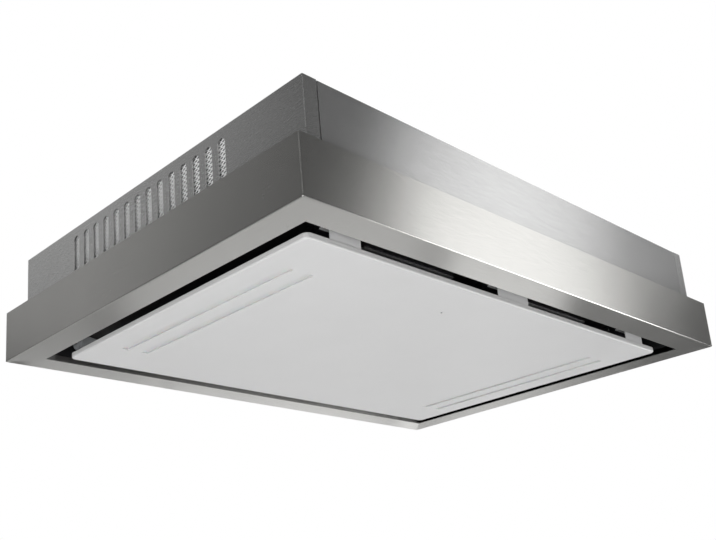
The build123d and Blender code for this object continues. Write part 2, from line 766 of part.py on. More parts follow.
def inlet_cone():
    """Bell mouth that leads the air through the deck into the wheel."""
    bottom = ledge_z - cone_sheet
    middle = (cone_radius + cone_curl, bottom + cone_curl)
    lip = (cone_radius, middle[1])
    outer = cone_radius + cone_curl + cone_flange
    inside = CenterArc(middle, cone_curl, 180, 90)
    outside = CenterArc(middle, cone_curl - cone_sheet, 180, 90)
    profile = make_face([
        inside,
        Polyline(inside @ 1, (outer, bottom), (outer, ledge_z), outside @ 1),
        outside,
        Line(outside @ 0, lip),
    ])
    cone = Pos(blower_x, 0) * revolve(Plane.XZ * profile, axis=Axis.Z)
    return hole_through(cone, blower_screw_places, (bottom - 1, ledge_z + 1))


def finger_guard():
    """Wire grille under the inlet: rings that lie against the cone's flange, on spokes from a hub."""
    reach = cone_radius + cone_curl + guard_wire
    drop = 0.8 * guard_wire
    hub = rod(guard_hub, (-drop - guard_wire - 1, guard_wire))
    rings = [Torus(reach * (i + 1) / guard_rings, guard_wire) for i in range(guard_rings)]
    spoke = Pos(reach / 2, 0, -drop) * Rot(0, 90, 0) * Cylinder(guard_wire, reach)
    spokes = [Rot(0, 0, 360 * i / guard_spokes) * spoke for i in range(guard_spokes)]
    guard = hub.fuse(*spokes).fuse(*rings)
    return Pos(blower_x, 0, ledge_z - cone_sheet - guard_wire - hole_clearance) * guard


def blade():
    """One forward-curved blade at the wheel's rim, from two arcs a blade's thickness apart."""
    inner = wheel_inner_radius
    outer = wheel_radius - 0.5
    middle = (inner + outer) / 2

    def point(radius, turn):
        return radius * cos(turn), radius * sin(turn)

    sweep = blade_sweep * pi / 180
    lead = blade_thickness / middle
    near = ThreePointArc(point(inner, 0), point(middle, sweep * 0.25), point(outer, sweep))
    far = ThreePointArc(point(inner, lead), point(middle, sweep * 0.25 + lead), point(outer, sweep + lead))
    plan = make_face([near, far, Line(near @ 0, far @ 0), Line(near @ 1, far @ 1)])
    low = wheel_bottom + wheel_sheet / 2
    return Pos(0, 0, low) * extrude(plan, amount=wheel_top - wheel_sheet / 2 - low)


def fan_wheel():
    """Wheel with a cup that goes up round the motor, its hub, its blades and its lower ring."""
    cup = motor_radius + cup_clearance
    bore = shaft_radius + shaft_clearance
    hub_bottom = cup_bottom - hub_length
    profile = Polyline(
        (cup, wheel_top), (wheel_radius, wheel_top), (wheel_radius, wheel_top - wheel_sheet),
        (cup + wheel_sheet, wheel_top - wheel_sheet), (cup + wheel_sheet, cup_bottom),
        (hub_radius, cup_bottom), (hub_radius, hub_bottom), (bore, hub_bottom),
        (bore, cup_bottom + wheel_sheet), (cup, cup_bottom + wheel_sheet), close=True)
    wheel = revolve(Plane.XZ * make_face(profile), axis=Axis.Z)
    ring = rod(wheel_radius, (wheel_bottom, wheel_bottom + wheel_sheet))
    ring -= rod(wheel_inner_radius + wheel_sheet, (wheel_bottom - 1, wheel_bottom + wheel_sheet + 1))
    one = blade()
    blades = [Rot(0, 0, 360 * i / blade_count) * one for i in range(blade_count)]
    return Pos(blower_x, 0) * wheel.fuse(ring, *blades)


def motor_shaft():
    """Shaft of the motor, on which the wheel is held by a nut."""
    top = scroll_top - scroll_wall - motor_wall - shaft_clearance
    return rod(shaft_radius, (cup_bottom - hub_length - nut_height - 1, top), blower_x)


def wheel_nut():
    """Nut under the wheel's hub."""
    low = cup_bottom - hub_length - nut_height
    return hex_nut(blower_x, 0, low, shaft_nut_flat, shaft_radius + shaft_clearance)


def motor():
    """Motor with its mounting flange under the blower's cover and the bore for its shaft."""
    top = scroll_top - scroll_wall
    body = rod(motor_radius, (motor_bottom, top), blower_x)
    body = fillet(body.faces().sort_by(Axis.Z)[0].edges(), motor_wall)
    body += rod(motor_flange, (top - motor_wall, top), blower_x)
    body = hole_through(body, motor_screw_places, (top - motor_wall - 1, top + 1))
    return body - rod(shaft_radius + shaft_clearance, (motor_bottom - 1, top - motor_wall), blower_x)


def enclosure(x, y, size):
    """Open-topped plastic box on the deck and the lid that closes it."""
    length, width, height = size
    top = deck_z + height
    base = centred_slab(length, width, (deck_z, top - lid_thickness), x, y)
    base = fillet(base.edges().filter_by(Axis.Z), box_wall)
    base -= centred_slab(length - 2 * box_wall, width - 2 * box_wall, (deck_z + box_wall, top), x, y)
    lid = centred_slab(length, width, (top - lid_thickness, top), x, y)
    lid = fillet(lid.edges().filter_by(Axis.Z), box_wall)
    return base, fillet(lid.faces().sort_by(Axis.Z)[-1].edges(), lid_thickness / 3)


def light_driver():
    """Sealed supply for the lights, with a screw ear at each end."""
    length, width, height = driver_size
    body = centred_slab(length, width, (deck_z, deck_z + height), grommet_x, driver_y)
    body = fillet(body.edges(), box_wall)
    ear_z = (deck_z, deck_z + box_wall)
    return body + centred_slab(length + 2 * driver_ear, width / 2, ear_z, grommet_x, driver_y)


def deck_fasteners():
    """Screws and nuts that join the deck, and so the box, to the canopy's ledge."""
    bottom = ledge_z - canopy_sheet
    pieces = []
    for x, y in deck_bolt_places:
        pieces.append(screw(x, y, deck_z, tray_sheet + canopy_sheet + nut_height))
        pieces.append(hex_nut(x, y, bottom - nut_height, nut_flat, screw_radius + hole_clearance))
    return joined(pieces)


def pan_fasteners():
    """Studs and nuts that hold the pan's walls, and the screws of the magnets and the hinge lugs."""
    bottom = under_z + canopy_sheet
    pieces = []
    for x, y in pan_stud_places:
        pieces.append(rod(screw_radius, (bottom, bottom + stud_height), x, y))
        pieces.append(hex_nut(x, y, bottom + pan_sheet, nut_flat, screw_radius + hole_clearance))
    pieces += [screw(x, y, pan_z - magnet_foot_sheet, magnet_foot_sheet + pan_sheet + 1, down=False)
               for x, y in catch_screw_places]
    pieces += [screw(x, y, pan_z - lug_sheet, lug_sheet + pan_sheet + 1, down=False)
               for x, y in lug_screw_places]
    return joined(pieces)


def panel_screws():
    """Screws that hold the strikes and the hinge arms to the panel's back."""
    pieces = []
    for places, sheet in ((strike_screw_places, strike_sheet), (arm_screw_places, arm_sheet)):
        pieces += [screw(x, y, panel_top + sheet, sheet + backing_sheet) for x, y in places]
    return joined(pieces)


def blower_fasteners():
    """Screws up through the inlet cone, and those down into the motor's flange."""
    grip = cone_sheet + tray_sheet + scroll_wall
    pieces = [screw(x, y, ledge_z - cone_sheet, grip + 1, down=False) for x, y in blower_screw_places]
    pieces += [screw(x, y, scroll_top, scroll_wall + motor_wall) for x, y in motor_screw_places]
    return joined(pieces)


def both_sides(shape):
    """A left-hand piece and its mirror image."""
    return joined([shape, mirror(shape, about=Plane.YZ)])


def build_canopy():
    """Outer shell: the canopy's sides and the box above them."""
    nodes = canopy_rails()
    left = side_panel()
    front = face_panel()
    nodes["box_left_panel"] = left
    nodes["box_right_panel"] = mirror(left, about=Plane.YZ)
    nodes["box_front_panel"] = front
    nodes["box_back_panel"] = mirror(front, about=Plane.XZ)
    nodes["top_plate"] = top_plate()
    nodes["deck_plate"] = deck_plate()
    nodes["corner_posts"] = corner_posts()
    nodes["mains_grommet"] = mains_grommet()
    nodes["deck_fasteners"] = deck_fasteners()
    return nodes


def build_vents():
    """Filter cassettes behind the vent slots at both ends."""
    nodes = {}
    cassette = vent_cassette()
    for name, shape in cassette.items():
        nodes[f"left_{name}"] = shape
        nodes[f"right_{name}"] = mirror(shape, about=Plane.YZ)
    return nodes


def build_pan():
    """Suction pan with the seats of its two grease filters, and the filters in them."""
    nodes = pan_walls()
    nodes["pan_plate"] = pan_plate()
    nodes["filter_seats"] = joined([filter_seat(x) for x in filter_places.values()])
    nodes["pan_fasteners"] = pan_fasteners()
    for side, x in filter_places.items():
        nodes[f"{side}_filter_frame"] = filter_frame(x)
        nodes[f"{side}_filter_mesh"] = filter_mesh(x)
        nodes[f"{side}_filter_latch"] = filter_latch(x)
    return nodes


def build_panel():
    """Drop-down panel with its lights, receiver, strikes and hinges, and the catches above it."""
    return {
        "panel_skin": panel_skin(),
        "panel_backing": panel_backing(),
        "light_channels": joined([light_channel(x) for x in light_places]),
        "light_diffusers": joined([light_diffuser(x) for x in light_places]),
        "light_boards": joined([light_board(x) for x in light_places]),
        "remote_sensor": sensor(),
        "panel_strikes": strikes(),
        "catch_magnets": catch_magnets(),
        "hinge_arms": both_sides(hinge_arm()),
        "hinge_lugs": both_sides(hinge_lug()),
        "hinge_pins": both_sides(hinge_pin()),
        "hinge_clips": both_sides(hinge_clip()),
        "panel_screws": panel_screws(),
    }


def build_blower():
    """Blower on the deck, from its inlet to its motor."""
    return {
        "blower_housing": blower_housing(),
        "blower_cover": blower_cover(),
        "inlet_cone": inlet_cone(),
        "finger_guard": finger_guard(),
        "fan_wheel": fan_wheel(),
        "motor_shaft": motor_shaft(),
        "wheel_nut": wheel_nut(),
        "motor": motor(),
        "blower_fasteners": blower_fasteners(),
    }


def build_electrics():
    """Control box, terminal box and light supply on the deck."""
    nodes = {"light_driver": light_driver()}
    for name, x, y, size in (("control_box", grommet_x, control_box_y, control_box_size),
                             ("terminal_box", grommet_x, grommet_y, terminal_size)):
        nodes[name], nodes[name + "_lid"] = enclosure(x, y, size)
    return nodes


os.makedirs("parts", exist_ok=True)
for build in (build_canopy, build_vents, build_pan, build_panel, build_blower, build_electrics):
    for node, shape in build().items():
        export_step(shape, f"parts/{node}.step")
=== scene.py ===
"""Ceiling range hood: finishes, expanded metal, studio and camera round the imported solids.

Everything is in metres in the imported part's frame: the origin is the middle of the face against the
ceiling, +Z is up, +X runs along the long side and -Y points to the edge of the panel that drops open.
"""

import logging
from abc import ABC, abstractmethod
from collections.abc import Sequence
from dataclasses import dataclass
from enum import Enum
from functools import cache

import bpy
import numpy as np
from mathutils import Matrix, Vector

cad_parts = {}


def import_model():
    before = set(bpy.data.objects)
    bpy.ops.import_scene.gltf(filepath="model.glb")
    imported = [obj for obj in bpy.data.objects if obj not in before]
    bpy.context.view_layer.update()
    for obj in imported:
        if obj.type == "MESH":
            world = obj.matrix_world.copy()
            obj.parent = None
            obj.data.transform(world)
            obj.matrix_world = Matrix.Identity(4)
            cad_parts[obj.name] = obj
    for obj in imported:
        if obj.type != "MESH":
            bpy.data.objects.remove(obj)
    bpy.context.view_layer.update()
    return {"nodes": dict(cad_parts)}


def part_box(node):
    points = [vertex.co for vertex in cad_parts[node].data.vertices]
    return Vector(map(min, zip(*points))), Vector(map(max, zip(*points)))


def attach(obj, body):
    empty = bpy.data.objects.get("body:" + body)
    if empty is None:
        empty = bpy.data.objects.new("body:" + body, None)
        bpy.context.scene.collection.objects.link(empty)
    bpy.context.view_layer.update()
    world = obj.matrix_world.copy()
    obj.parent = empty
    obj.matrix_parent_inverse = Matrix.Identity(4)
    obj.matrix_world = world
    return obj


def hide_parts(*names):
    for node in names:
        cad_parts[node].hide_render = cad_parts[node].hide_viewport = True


LOG = logging.getLogger("range_hood")
Socket = bpy.types.NodeSocket
Colour = tuple[float, float, float]
Band = tuple[float, float]

MM = 0.001
OPAQUE = 1.0
WHITE = (1.0, 1.0, 1.0, OPAQUE)
# A quarter turn sets a highlight's long axis across the grain.
ACROSS_GRAIN = 0.25
# Most of a noise's values lie in this band.
MIDDLE_BAND = (0.3, 0.7)
RISING = (0.0, 1.0)
FALLING = (1.0, 0.0)
# Numbers of a Mix Shader's two shader inputs, which share one name.
FIRST_SHADER = 1
SECOND_SHADER = 2
SIDES = ("left", "right")


class Grain(Enum):
    """Direction in which a sheet was brushed, as a unit vector in the hood's frame."""

    ALONG_X = (1.0, 0.0, 0.0)
    ALONG_Y = (0.0, 1.0, 0.0)


class Blend(Enum):
    """What a Mix node blends: its data type and the numbers of its two inputs and its output."""

    VECTORS = ("VECTOR", 4, 5, 1)
    COLOURS = ("RGBA", 6, 7, 2)


def shade(colour: Colour, factor: float) -> Colour:
    """A colour made darker or lighter by a factor, with each part kept at or under one."""
    red, green, blue = (min(1.0, part * factor) for part in colour)
    return red, green, blue


class Shader:
    """A material under construction: one Principled surface and short calls that add nodes to it."""

    def __init__(self, name: str) -> None:
        """Start a material with its Principled surface.

        Args:
            name: The material's name.
        """
        self.material = bpy.data.materials.new(name)
        self.material.use_nodes = True
        self.tree = self.material.node_tree
        self.surface = self.tree.nodes["Principled BSDF"]
        self.coords = self.tree.nodes.new("ShaderNodeTexCoord").outputs["Object"]

    def node(self, kind: str, **settings: object) -> bpy.types.Node:
        """Add a node.

        Args:
            kind: The node type's name after "ShaderNode".
            settings: Properties of the node to set.

        Returns:
            The new node.
        """
        made = self.tree.nodes.new("ShaderNode" + kind)
        for key, value in settings.items():
            setattr(made, key, value)
        return made

    def feed(self, source: Socket | Sequence[float] | float, target: Socket) -> None:
        """Give an input its value.

        Args:
            source: An output to link, or a constant to set.
            target: The input.
        """
        if isinstance(source, Socket):
            self.tree.links.new(source, target)
        else:
            target.default_value = source

    def set(self, **values: Socket | Sequence[float] | float) -> None:
        """Feed inputs of the surface, with underscores for the spaces in their names."""
        for key, value in values.items():
            self.feed(value, self.surface.inputs[key.replace("_", " ")])

    def math(self, operation: str, *sources: Socket | float) -> Socket:
        """Result of a Math node.

        Args:
            operation: The node's operation, such as "MULTIPLY".
            sources: What it works on, outputs or constants.

        Returns:
            The node's output.
        """
        made = self.node("Math", operation=operation)
        for number, source in enumerate(sources):
            self.feed(source, made.inputs[number])
        return made.outputs["Value"]

    def mix(self, blend: Blend, factor: Socket, first: Socket | Sequence[float],
            second: Socket | Sequence[float]) -> Socket:
        """Blend of two vectors or colours.

        Args:
            blend: What is blended.
            factor: Output that gives the second one's share.
            first: Result where the factor is zero.
            second: Result where the factor is one.

        Returns:
            The Mix node's output.
        """
        kind, low, high, result = blend.value
        made = self.node("Mix", data_type=kind)
        self.feed(factor, made.inputs["Factor"])
        self.feed(first, made.inputs[low])
        self.feed(second, made.inputs[high])
        return made.outputs[result]

    def noise(self, scale: Sequence[float] | float, octaves: float = 2.0, rough: float = 0.5) -> Socket:
        """Noise over the object.

        Args:
            scale: Features per metre, one number or one for each axis.
            octaves: Number of octaves.
            rough: Weight of the finer octaves.

        Returns:
            The noise node's factor output.
        """
        mapping = self.node("Mapping")
        self.feed((scale,) * 3 if isinstance(scale, float) else scale, mapping.inputs["Scale"])
        self.feed(self.coords, mapping.inputs["Vector"])
        made = self.node("TexNoise")
        self.feed(mapping.outputs["Vector"], made.inputs["Vector"])
        for key, value in (("Scale", 1.0), ("Detail", octaves), ("Roughness", rough)):
            self.feed(value, made.inputs[key])
        return made.outputs["Fac"]

    def cells(self, scale: float, output: str) -> Socket:
        """Voronoi cells over the object.

        Args:
            scale: Cells per metre.
            output: Name of the output to take, "Distance" or "Color".

        Returns:
            That output.
        """
        made = self.node("TexVoronoi")
        self.feed(scale, made.inputs["Scale"])
        self.feed(self.coords, made.inputs["Vector"])
        return made.outputs[output]

    def spread(self, source: Socket, values: Band, band: Band = MIDDLE_BAND) -> Socket:
        """Map a band of a factor's values to a new range.

        Args:
            source: Output that gives the factor.
            values: The two ends of the new range.
            band: The values of the factor that they stand for.

        Returns:
            Output that gives the mapped value.
        """
        made = self.node("MapRange")
        for key, value in zip(("From Min", "From Max", "To Min", "To Max"), (*band, *values)):
            self.feed(value, made.inputs[key])
        self.feed(source, made.inputs["Value"])
        return made.outputs["Result"]

    def tint(self, source: Socket, colour: Colour, tones: Band, band: Band = MIDDLE_BAND) -> None:
        """Colour the surface between a darker and a lighter tone.

        Args:
            source: Output that gives the factor between them.
            colour: The finish's colour.
            tones: Factors that make it darker and lighter.
            band: The values of the factor that the two tones stand for.
        """
        ramp = self.node("ValToRGB")
        for stop, tone, position in zip(ramp.color_ramp.elements, tones, band):
            stop.position = position
            stop.color = (*shade(colour, tone), OPAQUE)
        self.feed(source, ramp.inputs["Fac"])
        self.set(Base_Color=ramp.outputs["Color"])

    def gloss(self, source: Socket, roughness: float, changes: Band) -> Socket:
        """Roughness that drifts with a factor.

        Args:
            source: Output that gives the factor.
            roughness: The finish's roughness.
            changes: Factors that make it smoother and rougher.

        Returns:
            Output that gives the roughness.
        """
        smooth, rough = changes
        return self.spread(source, (roughness * smooth, roughness * rough))

    def relief(self, source: Socket, depth: float) -> None:
        """Bump the surface.

        Args:
            source: Output that gives the height as a factor.
            depth: Height in metres where the factor is one.
        """
        made = self.node("Bump")
        self.feed(depth, made.inputs["Distance"])
        self.feed(source, made.inputs["Height"])
        self.set(Normal=made.outputs["Normal"])


@dataclass(frozen=True)
class Finish(ABC):
    """A finish.

    Attributes:
        slot: Name of its material slot in the record.
        colour: Its colour, as shares of red, green and blue light.
        roughness: Its roughness, from 0 for a mirror to 1.
    """

    slot: str
    colour: Colour
    roughness: float

    def surface(self, name: str) -> Shader:
        """Start this finish's material with its colour and roughness.

        Args:
            name: The material's name.

        Returns:
            The material under construction.
        """
        shader = Shader(name)
        shader.set(Roughness=self.roughness, Base_Color=(*self.colour, OPAQUE))
        return shader

    @abstractmethod
    def material(self) -> bpy.types.Material:
        """The finished material."""


@dataclass(frozen=True)
class BrushedSteel(Finish):
    """Stainless sheet with long fine scratches along one direction.

    Attributes:
        grain: Direction of the scratches.
        sheet: Name of the sheets that it is for, as part of the material's name.
        bare: How metallic it is.
        spread: How far a highlight is drawn out across the grain.
        scratches: Scratches per metre along and across the grain.
        bands: Bands of tone per metre along and across the grain.
        band_octaves: Octaves of the bands' noise.
        band_rough: Weight of the finer octaves of the bands' noise.
        patches: Wiped patches per metre.
        tones: Factors for the colour of the bands.
        scratch_gloss: Factors for the roughness of the scratches.
        patch_gloss: Factors for the roughness of the patches.
        depth: Depth of a scratch.
        corner: How squarely a sheet faces along the grain where its grain turns.
        shaded_lip: Whether the upturned lip beside the opening is painted black: painted shade,
            standing in for the shade and dark reflection in the gap there.
        lip_reach: Distance from the middle along X within which the lip lies.
        lip_foot: Height above which the lip lies.
        lip_blur: Width of the painted shade's edge.
        lip_shade_colour: Colour of the painted shade.
    """

    grain: Grain = Grain.ALONG_X
    sheet: str = "canopy"
    bare: float = 1.0
    spread: float = 0.94
    scratches: Band = (90.0, 1500.0)
    bands: Band = (30.0, 420.0)
    band_octaves: float = 4.0
    band_rough: float = 0.6
    patches: float = 6.0
    tones: Band = (0.96, 1.04)
    scratch_gloss: Band = (0.93, 1.08)
    patch_gloss: Band = (0.95, 1.05)
    depth: float = 0.00015 * MM
    corner: Band = (0.69, 0.71)
    shaded_lip: bool = False
    lip_reach: float = 455.5 * MM
    lip_foot: float = -175.2 * MM
    lip_blur: float = 0.5 * MM
    lip_shade_colour: Colour = (0.01, 0.01, 0.01)

    def tangent(self, shader: Shader) -> Socket:
        """Direction of the grain: along the sheet, and level too where the sheet turns the corner.

        Args:
            shader: The material under construction.

        Returns:
            An output that gives the direction as a vector.
        """
        facing = shader.node("VectorMath", operation="DOT_PRODUCT")
        shader.feed(shader.node("NewGeometry").outputs["Normal"], facing.inputs[0])
        shader.feed(self.grain.value, facing.inputs[1])
        size = shader.math("ABSOLUTE", facing.outputs["Value"])
        other = Grain.ALONG_Y if self.grain is Grain.ALONG_X else Grain.ALONG_X
        turned = shader.spread(size, RISING, self.corner)
        return shader.mix(Blend.VECTORS, turned, self.grain.value, other.value)

    def streaks(self, pair: Band) -> list[float]:
        """Features per metre on each axis, from those along and across the grain."""
        along, across = pair
        return [along if part else across for part in self.grain.value]

    def material(self) -> bpy.types.Material:
        """Steel whose highlights run across the grain, with fine scratches and faint wiped patches.

        Returns:
            The finished material.
        """
        shader = self.surface(f"{self.slot}_{self.sheet}_{self.grain.name.lower()}")
        shader.set(Metallic=self.bare, Anisotropic=self.spread, Anisotropic_Rotation=ACROSS_GRAIN)
        shader.set(Tangent=self.tangent(shader))
        scratches = shader.noise(self.streaks(self.scratches))
        bands = shader.noise(self.streaks(self.bands), self.band_octaves, self.band_rough)
        patches = shader.gloss(shader.noise(self.patches), self.roughness, self.patch_gloss)
        shader.tint(bands, self.colour, self.tones)
        shader.set(Roughness=shader.math("MULTIPLY", shader.spread(scratches, self.scratch_gloss), patches))
        shader.relief(scratches, self.depth)
        # The lip is painted black: painted shade for the dark gap beside the panel.
        if self.shaded_lip:
            self.paint_lip_shade(shader)
        return shader.material

    def paint_lip_shade(self, shader: Shader) -> None:
        """Paint the upturned lip beside the panel's opening black as painted shade, standing in for the
        shade and dark reflection in the gap between the rail and the panel.

        Args:
            shader: The material under construction, already coloured.
        """
        place = shader.node("SeparateXYZ")
        shader.feed(shader.coords, place.inputs["Vector"])
        across = shader.math("ABSOLUTE", place.outputs["X"])
        inside = shader.spread(across, FALLING, (self.lip_reach, self.lip_reach + self.lip_blur))
        above = shader.spread(place.outputs["Z"], RISING, (self.lip_foot, self.lip_foot + self.lip_blur))
        steel = shader.surface.inputs["Base Color"].links[0].from_socket
        # Black over the lip only: painted shade.
        lip = shader.math("MULTIPLY", inside, above)
        shader.set(Base_Color=shader.mix(Blend.COLOURS, lip, steel, (*self.lip_shade_colour, OPAQUE)))


@dataclass(frozen=True)
class SatinPaint(Finish):
    """Sprayed coat with faint orange peel.

    Attributes:
        peel: Depth of the orange peel.
        metallic: How metallic it is.
        drift: Changes of tone per metre.
        ripple: Ripples of the orange peel per metre.
        tones: Factors for the colour.
        changes: Factors for the roughness.
    """

    peel: float = 0.03 * MM
    metallic: float = 0.0
    drift: float = 9.0
    ripple: float = 700.0
    tones: Band = (0.985, 1.012)
    changes: Band = (0.9, 1.1)

    def material(self) -> bpy.types.Material:
        """Paint whose gloss and tone drift slightly, over a fine ripple.

        Returns:
            The finished material.
        """
        shader = self.surface(self.slot)
        drift = shader.noise(self.drift)
        shader.tint(drift, self.colour, self.tones)
        shader.set(Metallic=self.metallic, Roughness=shader.gloss(drift, self.roughness, self.changes))
        shader.relief(shader.noise(self.ripple), self.peel)
        return shader.material


@dataclass(frozen=True)
class MouldedPlastic(Finish):
    """Moulded plastic with a fine spark-eroded grain.

    Attributes:
        grain: Grains per metre.
        depth: Depth of a grain.
        drift: Changes of tone per metre.
        drift_octaves: Octaves of that noise.
        tones: Factors for the colour.
        changes: Factors for the roughness.
    """

    grain: float = 1800.0
    depth: float = 0.04 * MM
    drift: float = 25.0
    drift_octaves: float = 3.0
    tones: Band = (0.98, 1.02)
    changes: Band = (0.85, 1.15)

    def material(self) -> bpy.types.Material:
        """Plastic with an even grain and slight changes of gloss.

        Returns:
            The finished material.
        """
        shader = self.surface(self.slot)
        grain = shader.noise(self.grain)
        shader.tint(shader.noise(self.drift, self.drift_octaves), self.colour, self.tones)
        shader.set(Roughness=shader.gloss(grain, self.roughness, self.changes))
        shader.relief(grain, self.depth)
        return shader.material


@dataclass(frozen=True)
class PlatedMetal(Finish):
    """Bare or plated metal, with the crystal pattern of zinc where it is dipped.

    Attributes:
        crystals: Crystals per metre, or zero for none.
        mill: Mill marks per metre where it has no crystals.
        pits: Pits per metre.
        octaves: Octaves of the noise of marks and pits.
        depth: Depth of a pit.
        tones: Factors for the colour.
        tone_band: Values of the pattern that the two tones stand for.
        changes: Factors for the roughness.
    """

    crystals: float = 0.0
    mill: float = 260.0
    pits: float = 900.0
    octaves: float = 3.0
    depth: float = 0.01 * MM
    tones: Band = (0.94, 1.05)
    tone_band: Band = (0.2, 0.8)
    changes: Band = (0.93, 1.07)

    def pattern(self, shader: Shader) -> Socket:
        """Crystals of different greys, or a plain mill grain where it has none.

        Args:
            shader: The material under construction.

        Returns:
            An output that gives the pattern as a factor.
        """
        if not self.crystals:
            return shader.noise(self.mill, self.octaves)
        grey = shader.node("RGBToBW")
        shader.feed(shader.cells(self.crystals, "Color"), grey.inputs["Color"])
        return grey.outputs["Val"]

    def material(self) -> bpy.types.Material:
        """Metal whose tone and gloss follow its pattern, over fine pits.

        Returns:
            The finished material.
        """
        shader = self.surface(self.slot)
        pattern = self.pattern(shader)
        shader.tint(pattern, self.colour, self.tones, self.tone_band)
        shader.set(Metallic=1.0, Roughness=shader.gloss(pattern, self.roughness, self.changes))
        shader.relief(shader.noise(self.pits, self.octaves), self.depth)
        return shader.material


@dataclass(frozen=True)
class Felt(Finish):
    """Open foam filled with granules.

    Attributes:
        granules: Granules per metre.
        depth: Depth of the pits between them.
        tones: Factors for the colour.
        tone_band: Values of the pattern that the two tones stand for.
    """

    granules: float = 420.0
    depth: float = 1.2 * MM
    # tones: Factors for the colour, darker in the pits as painted shade and lighter on the granules.
    tones: Band = (0.4, 2.4)
    tone_band: Band = (0.1, 0.9)

    def material(self) -> bpy.types.Material:
        """Dull dark granules with pits between them, the pits darkened as painted shade.

        Returns:
            The finished material.
        """
        shader = self.surface(self.slot)
        pits = shader.cells(self.granules, "Distance")
        # The pits are coloured darker than the granules: painted shade.
        shader.tint(pits, self.colour, self.tones, self.tone_band)
        shader.relief(pits, self.depth)
        return shader.material


@dataclass(frozen=True)
class Frosted(Finish):
    """Translucent plastic that spreads the light of the lamps behind it.

    Attributes:
        milk: Share of the light that goes into it.
        milk_depth: How far that light goes.
        grain: Grains per metre.
        depth: Depth of a grain.
        drift: Changes of tone per metre.
        tones: Factors for the colour.
        changes: Factors for the roughness.
    """

    milk: float = 0.3
    milk_depth: float = 2.0 * MM
    grain: float = 1500.0
    depth: float = 0.03 * MM
    drift: float = 30.0
    tones: Band = (0.97, 1.02)
    changes: Band = (0.9, 1.1)

    def material(self) -> bpy.types.Material:
        """Milky plastic with a soft grain.

        Returns:
            The finished material.
        """
        shader = self.surface(self.slot)
        grain = shader.noise(self.grain)
        shader.tint(shader.noise(self.drift), self.colour, self.tones)
        shader.set(Subsurface_Weight=self.milk, Subsurface_Scale=self.milk_depth)
        shader.set(Roughness=shader.gloss(grain, self.roughness, self.changes))
        shader.relief(grain, self.depth)
        return shader.material


@cache
def made_once(finish: Finish) -> bpy.types.Material:
    """The material of a finish, made the first time that it is asked for."""
    return finish.material()


@dataclass(frozen=True)
class Finishes:
    """Every finish on the hood, one or more for each material slot of the record."""

    canopy_x: Finish = BrushedSteel("stainless", (0.605, 0.6, 0.58), 0.245)
    # The end rails carry the painted shade on their lip beside the opening.
    canopy_y: Finish = BrushedSteel("stainless", (0.605, 0.6, 0.58), 0.245, Grain.ALONG_Y, shaded_lip=True)
    # Both box finishes are one stainless steel: its colour is set darker on the long sides and lighter on the
    # ends, as painted shade and painted light for how light falls on each side.
    box_x: Finish = BrushedSteel("stainless", (0.57, 0.57, 0.568), 0.24, Grain.ALONG_X, "box", 0.82)
    box_y: Finish = BrushedSteel("stainless", (0.68, 0.68, 0.675), 0.26, Grain.ALONG_Y, "box", 0.95)
    galvanised: Finish = PlatedMetal("galvanised", (0.55, 0.57, 0.59), 0.42, crystals=90.0)
    zinc: Finish = PlatedMetal("zinc_plated", (0.66, 0.67, 0.68), 0.28)
    rubber: Finish = MouldedPlastic("rubber", (0.025, 0.025, 0.025), 0.7, grain=900.0)
    black_plastic: Finish = MouldedPlastic("black_plastic", (0.03, 0.03, 0.033), 0.5)
    mesh: Finish = SatinPaint("filter_mesh", (0.95, 0.95, 0.95), 0.4, peel=0.01 * MM, metallic=0.1)
    charcoal: Finish = Felt("charcoal_foam", (0.014, 0.014, 0.015), 0.95)
    black_paint: Finish = SatinPaint("black_paint", (0.006, 0.006, 0.007), 0.5)
    aluminium: Finish = PlatedMetal("aluminium", (0.8, 0.8, 0.8), 0.5)
    grey_plastic: Finish = MouldedPlastic("grey_plastic", (0.3, 0.31, 0.32), 0.5)
    grey_paint: Finish = SatinPaint("grey_paint", (0.3, 0.31, 0.32), 0.45)
    magnet: Finish = PlatedMetal("magnet", (0.05, 0.05, 0.055), 0.55)
    white_paint: Finish = SatinPaint("white_paint", (0.8, 0.8, 0.8), 0.42)
    white_plastic: Finish = MouldedPlastic("white_plastic", (0.74, 0.74, 0.735), 0.45)
    diffuser: Finish = Frosted("diffuser", (0.81, 0.81, 0.805), 0.5)
    lamp_board: Finish = MouldedPlastic("lamp_board", (0.75, 0.75, 0.7), 0.4)
    sensor: Finish = MouldedPlastic("sensor_lens", (0.02, 0.015, 0.02), 0.15)
    motor: Finish = SatinPaint("motor_paint", (0.09, 0.1, 0.11), 0.4)


def add_mesh(name: str, points: np.ndarray, faces: np.ndarray) -> bpy.types.Object:
    """Make an object of four-sided faces.

    Args:
        name: The piece's name.
        points: An array of shape (number of points, 3), in metres.
        faces: An array of shape (number of faces, 4) of point numbers.

    Returns:
        The new object, at the origin.
    """
    mesh = bpy.data.meshes.new(name)
    mesh.vertices.add(len(points))
    mesh.vertices.foreach_set("co", points.astype(np.float32).ravel())
    mesh.loops.add(faces.size)
    mesh.loops.foreach_set("vertex_index", faces.astype(np.int32).ravel())
    mesh.polygons.add(len(faces))
    mesh.polygons.foreach_set("loop_start", np.arange(0, faces.size, faces.shape[1], dtype=np.int32))
    mesh.update(calc_edges=True)
    mesh.validate()
    piece = bpy.data.objects.new(name, mesh)
    bpy.context.scene.collection.objects.link(piece)
    LOG.info("made %s with %d faces", name, len(faces))
    return piece


def repeat_faces(faces: np.ndarray, copies: int, points: int) -> np.ndarray:
    """Faces of several copies of a sheet whose points are stored one copy after another.

    Args:
        faces: Faces of one copy, of shape (number of faces, 4).
        copies: Number of copies.
        points: Number of points in one copy.

    Returns:
        An array of shape (number of faces times copies, 4).
    """
    starts = np.arange(copies) * points
    return (faces[None] + starts[:, None, None]).reshape(-1, 4)


